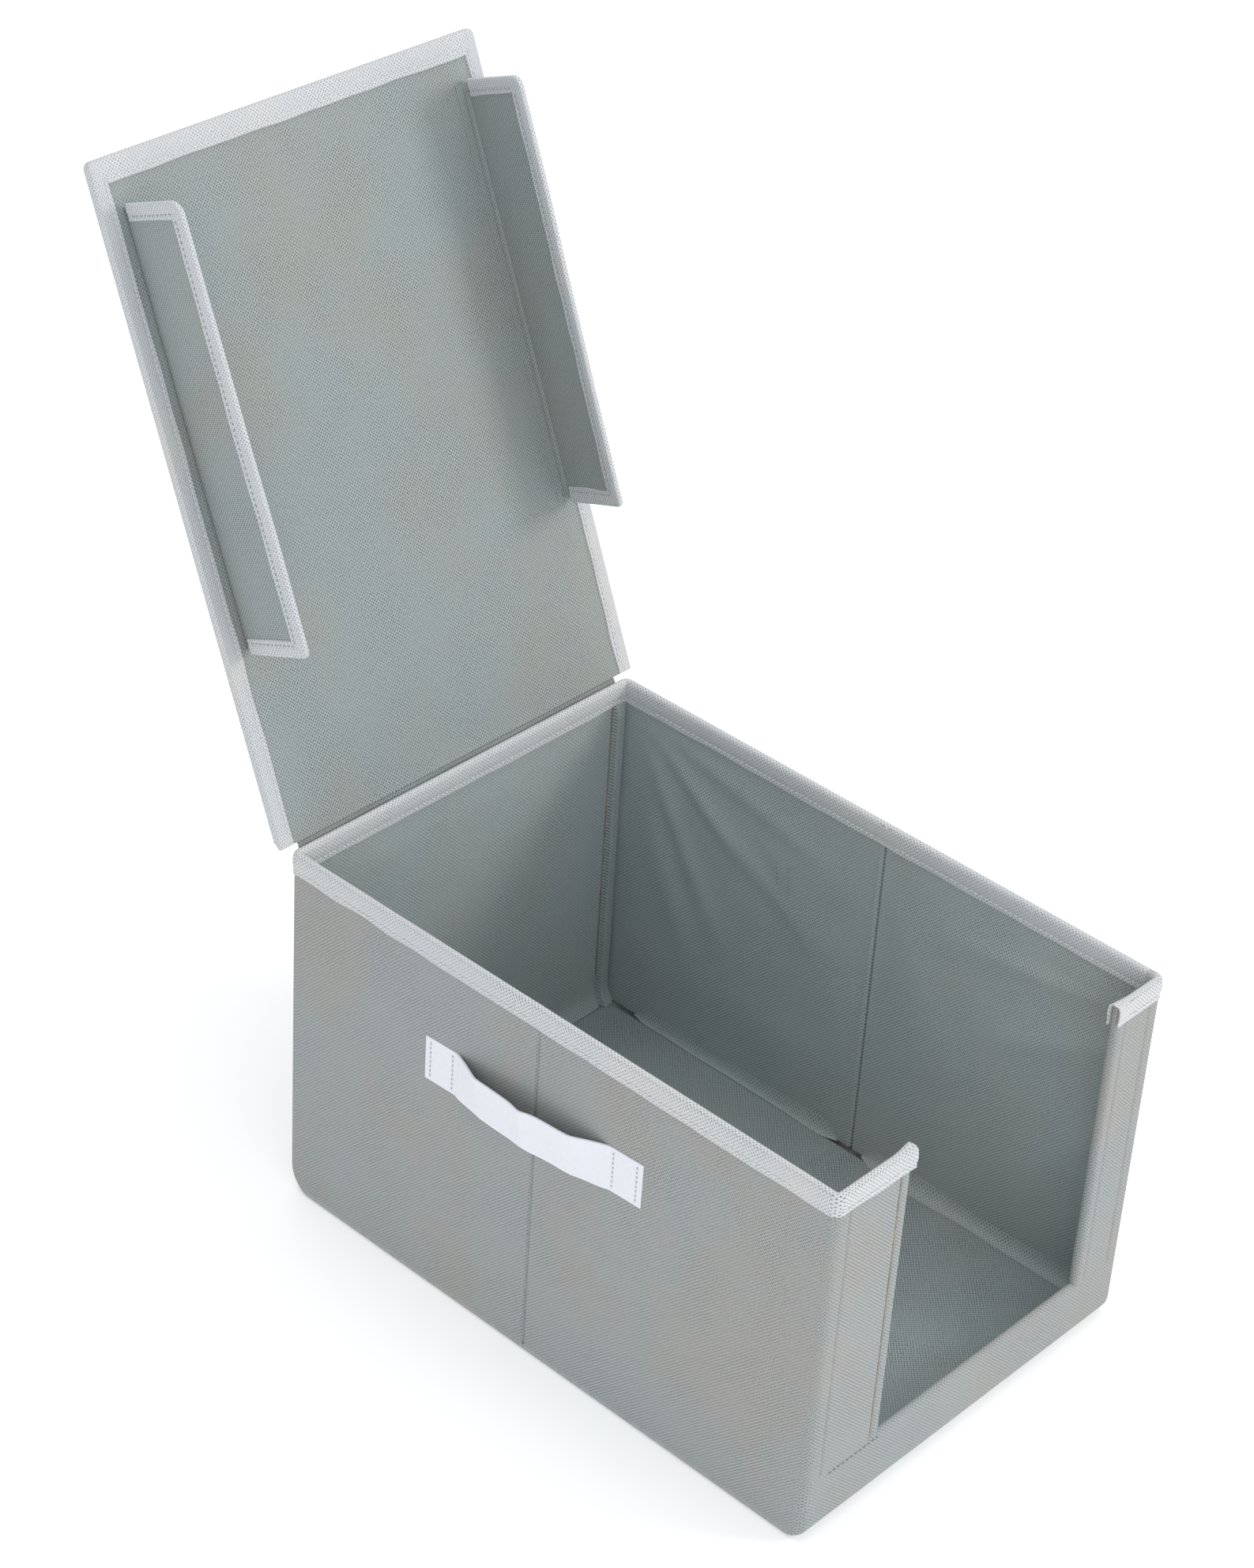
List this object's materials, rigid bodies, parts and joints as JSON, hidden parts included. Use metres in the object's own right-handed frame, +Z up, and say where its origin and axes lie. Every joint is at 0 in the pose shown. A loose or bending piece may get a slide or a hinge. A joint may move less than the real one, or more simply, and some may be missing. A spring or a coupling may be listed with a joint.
{
  "type": "folding fabric storage bin",
  "caption": "Folding box of board-stiffened non-woven fabric with a cut-out front, a hinged lid with tuck-in flaps, side handles and a loose base insert.",
  "frame": {"origin": "centre of the footprint of the walls, on the surface the bin stands on", "axes": "+X across the bin to the right-hand wall, +Y towards the back wall that carries the lid, +Z up"},
  "size_m": [0.2944, 0.5593, 0.6009],
  "materials": {
    "outer_fabric": "matte",
    "lining_fabric": "matte",
    "edge_binding": "matte",
    "handle_webbing": "matte",
    "stiffener_board": "matte"
  },
  "bodies": {
    "back": {"back_outer": "outer_fabric", "back_board": "stiffener_board", "back_lining": "lining_fabric", "rim_binding_back": "edge_binding", "corner_seam_back_left": "outer_fabric", "corner_seam_back_right": "outer_fabric", "lid_hinge_strip": "outer_fabric", "bottom_rear": "outer_fabric"},
    "left_rear_wall": {"left_rear_outer": "outer_fabric", "left_rear_board": "stiffener_board", "left_rear_lining": "lining_fabric", "rim_binding_left_rear": "edge_binding"},
    "left_seam": {"centre_seam_left": "outer_fabric", "handle_left": "handle_webbing"},
    "left_front_wall": {"left_front_outer": "outer_fabric", "left_front_board": "stiffener_board", "left_front_lining": "lining_fabric", "rim_binding_left_front": "edge_binding"},
    "front": {"left_post_outer": "outer_fabric", "left_post_board": "stiffener_board", "left_post_lining": "lining_fabric", "right_post_outer": "outer_fabric", "right_post_board": "stiffener_board", "right_post_lining": "lining_fabric", "sill_outer": "outer_fabric", "sill_board": "stiffener_board", "sill_lining": "lining_fabric", "rim_binding_left_post": "edge_binding", "rim_binding_right_post": "edge_binding", "corner_seam_front_left": "outer_fabric", "corner_seam_front_right": "outer_fabric", "bottom_front": "outer_fabric"},
    "right_rear_wall": {"right_rear_outer": "outer_fabric", "right_rear_board": "stiffener_board", "right_rear_lining": "lining_fabric", "rim_binding_right_rear": "edge_binding"},
    "right_seam": {"centre_seam_right": "outer_fabric", "handle_right": "handle_webbing"},
    "right_front_wall": {"right_front_outer": "outer_fabric", "right_front_board": "stiffener_board", "right_front_lining": "lining_fabric", "rim_binding_right_front": "edge_binding"},
    "lid": {"lid_outer": "outer_fabric", "lid_board": "stiffener_board", "lid_lining": "lining_fabric", "lid_binding": "edge_binding", "flap_seam_left": "outer_fabric", "flap_seam_right": "outer_fabric"},
    "left_flap": {"flap_left": "outer_fabric", "flap_binding_left": "edge_binding"},
    "right_flap": {"flap_right": "outer_fabric", "flap_binding_right": "edge_binding"},
    "base_insert": {"base_board": "stiffener_board", "base_cover_lower": "lining_fabric", "base_cover_upper": "lining_fabric"}
  },
  "joints": [
    {"name": "left_rear_fold", "type": "hinge", "parent": "back", "child": "left_rear_wall", "pos_m": [-0.133, 0.191, 0.12], "axis": [0, 0, 1], "range_deg": [0, 90], "deforming": ["handle_left", "bottom_rear"]},
    {"name": "left_seam_rear_fold", "type": "hinge", "parent": "left_rear_wall", "child": "left_seam", "pos_m": [-0.133, 0.0105, 0.12], "axis": [0, 0, -1], "range_deg": [0, 90]},
    {"name": "left_seam_front_fold", "type": "hinge", "parent": "left_seam", "child": "left_front_wall", "pos_m": [-0.133, 0.0035, 0.12], "axis": [0, 0, -1], "range_deg": [0, 90]},
    {"name": "left_front_corner_fold", "type": "hinge", "parent": "left_front_wall", "child": "front", "pos_m": [-0.133, -0.177, 0.12], "axis": [0, 0, 1], "range_deg": [0, 90]},
    {"name": "right_rear_fold", "type": "hinge", "parent": "back", "child": "right_rear_wall", "pos_m": [0.133, 0.177, 0.12], "axis": [0, 0, -1], "range_deg": [0, 90], "deforming": ["handle_right", "bottom_front"]},
    {"name": "right_seam_rear_fold", "type": "hinge", "parent": "right_rear_wall", "child": "right_seam", "pos_m": [0.133, -0.0035, 0.12], "axis": [0, 0, 1], "range_deg": [0, 90]},
    {"name": "right_seam_front_fold", "type": "hinge", "parent": "right_seam", "child": "right_front_wall", "pos_m": [0.133, -0.0105, 0.12], "axis": [0, 0, 1], "range_deg": [0, 90]},
    {"name": "lid_hinge", "type": "hinge", "parent": "back", "child": "lid", "pos_m": [0, 0.202, 0.2422], "axis": [1, 0, 0], "range_deg": [-102, 113]},
    {"name": "left_flap_fold", "type": "hinge", "parent": "lid", "child": "left_flap", "pos_m": [-0.1255, 0.29692, 0.4735], "axis": [0, 0.3907, 0.9205], "range_deg": [-87, 91]},
    {"name": "right_flap_fold", "type": "hinge", "parent": "lid", "child": "right_flap", "pos_m": [0.1255, 0.29692, 0.4735], "axis": [0, -0.3907, -0.9205], "range_deg": [-97, 81]},
    {"name": "base_insert_lift", "type": "slide", "parent": "back", "child": "base_insert", "axis": [0, 0, 1], "range_m": [0, 0.3]}
  ],
  "couplings": [
    {"joint": "left_seam_rear_fold", "follows": "left_rear_fold", "ratio": 1},
    {"joint": "right_seam_front_fold", "follows": "left_rear_fold", "ratio": 1},
    {"joint": "left_seam_front_fold", "follows": "right_rear_fold", "ratio": 1},
    {"joint": "left_front_corner_fold", "follows": "right_rear_fold", "ratio": 1},
    {"joint": "right_seam_rear_fold", "follows": "right_rear_fold", "ratio": 1}
  ]
}
